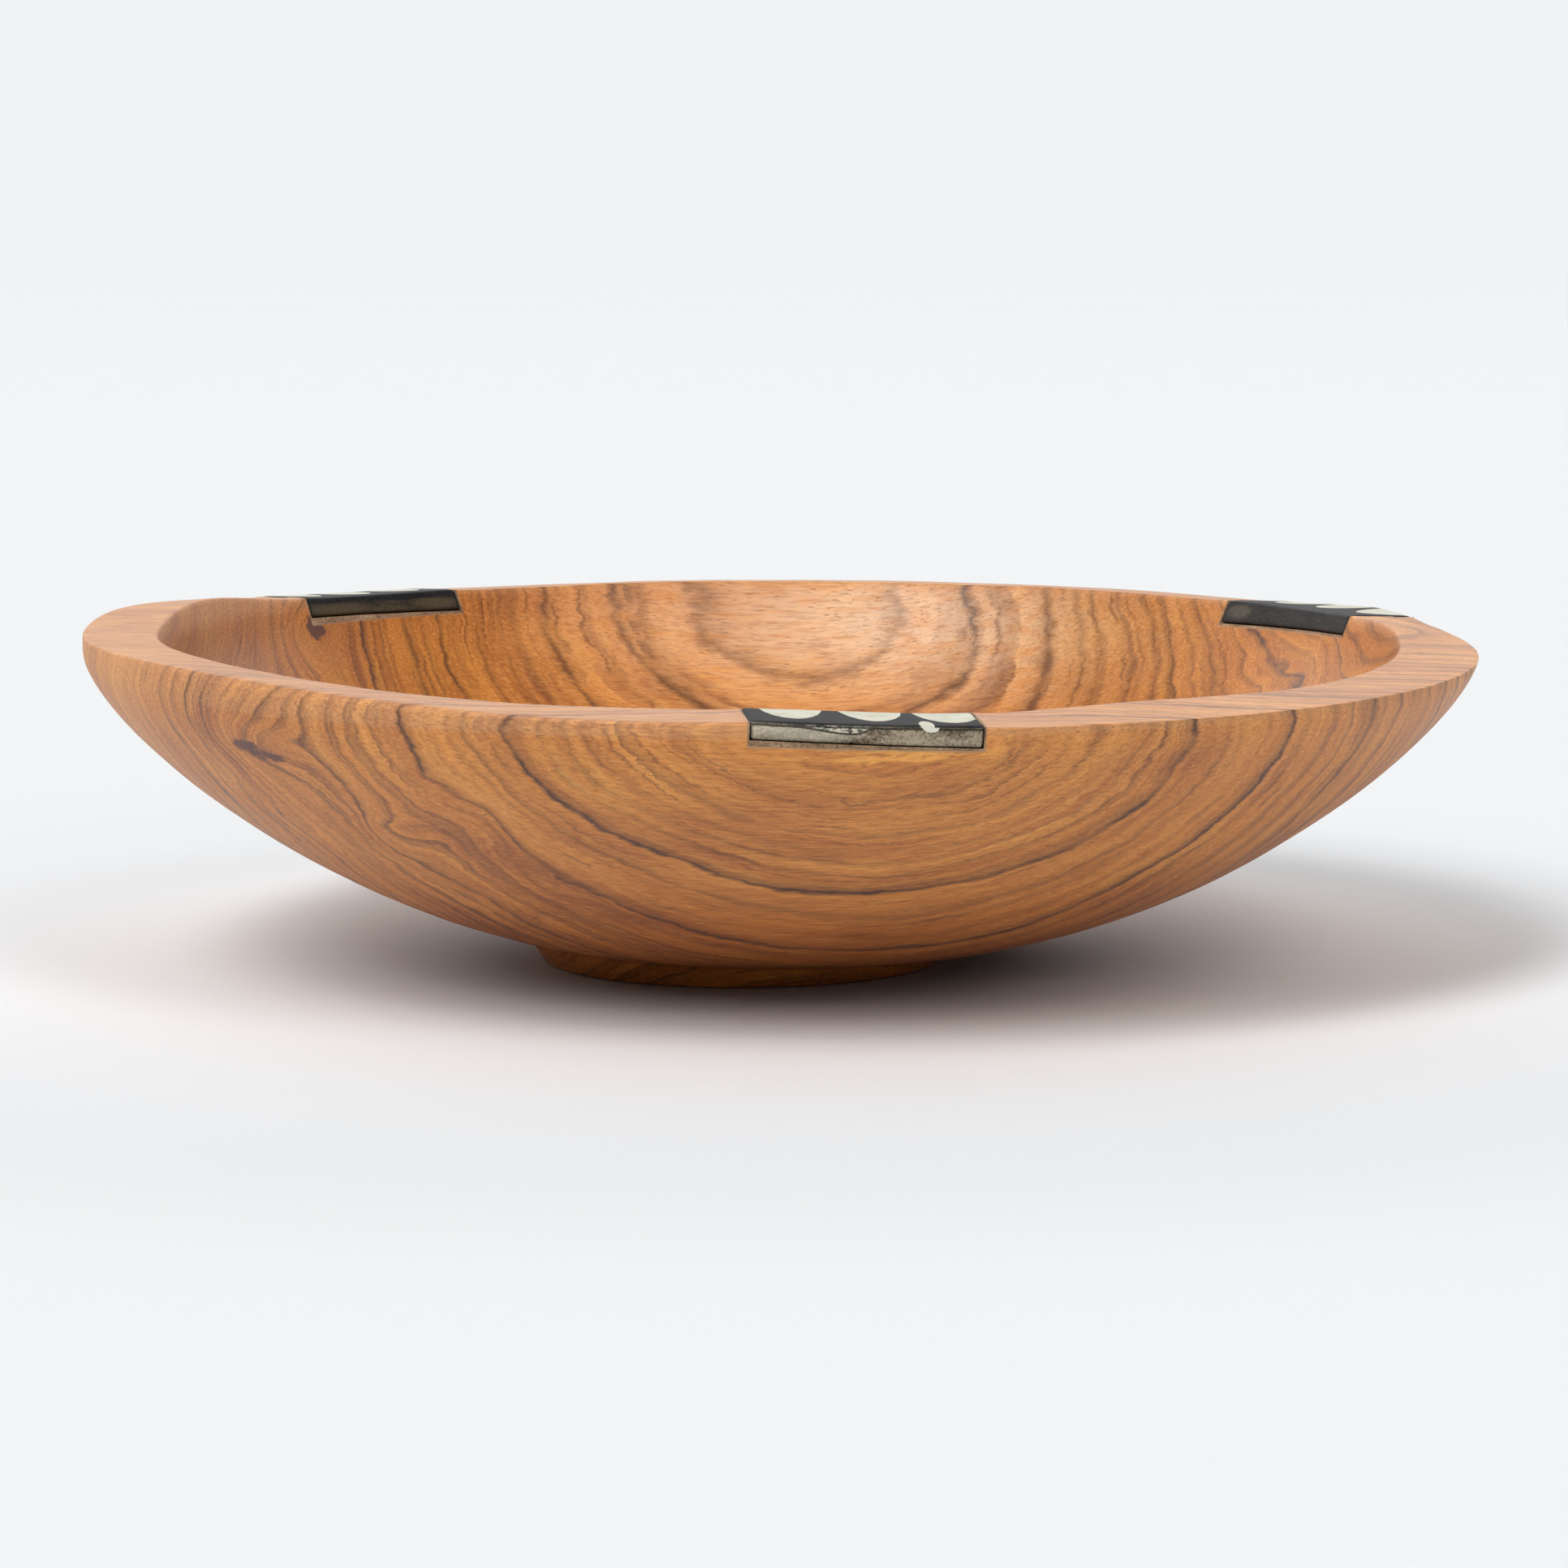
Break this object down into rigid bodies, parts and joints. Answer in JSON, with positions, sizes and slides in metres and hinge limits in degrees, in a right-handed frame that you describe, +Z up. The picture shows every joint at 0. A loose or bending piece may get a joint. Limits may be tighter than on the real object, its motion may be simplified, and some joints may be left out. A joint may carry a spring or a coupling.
{
  "type": "carved wooden bowl",
  "caption": "Shallow round bowl carved from one block of figured wood, with a low off-centre foot, a wavy flat rim and dyed bone bars let flush into the rim.",
  "frame": {"origin": "on the plane the foot stands on, straight below the centre of the rim circle", "axes": "+Z up through the centre of the rim; +Y from the front bone bar towards the back; +X to the right seen from the front"},
  "size_m": [0.3047, 0.3048, 0.0755],
  "materials": {
    "olive_wood": "oiled and hand sanded, satin, close brown grain with dark lines",
    "bone_front": "polished cattle bone, dyed near black with undyed cream ovals",
    "bone_rear_left": "polished cattle bone, dyed near black with undyed cream ovals",
    "bone_rear_right": "polished cattle bone, dyed near black with undyed cream ovals",
    "resin_front": "cured resin glue with sawdust in it, dull",
    "resin_rear_left": "cured resin glue with sawdust in it, dull",
    "resin_rear_right": "cured resin glue with sawdust in it, dull"
  },
  "bodies": {
    "root": {"bowl_body": "olive_wood", "bone_inlay_front": "bone_front", "bone_inlay_rear_left": "bone_rear_left", "bone_inlay_rear_right": "bone_rear_right", "resin_bed_front": "resin_front", "resin_bed_rear_left": "resin_rear_left", "resin_bed_rear_right": "resin_rear_right"}
  },
  "joints": []
}
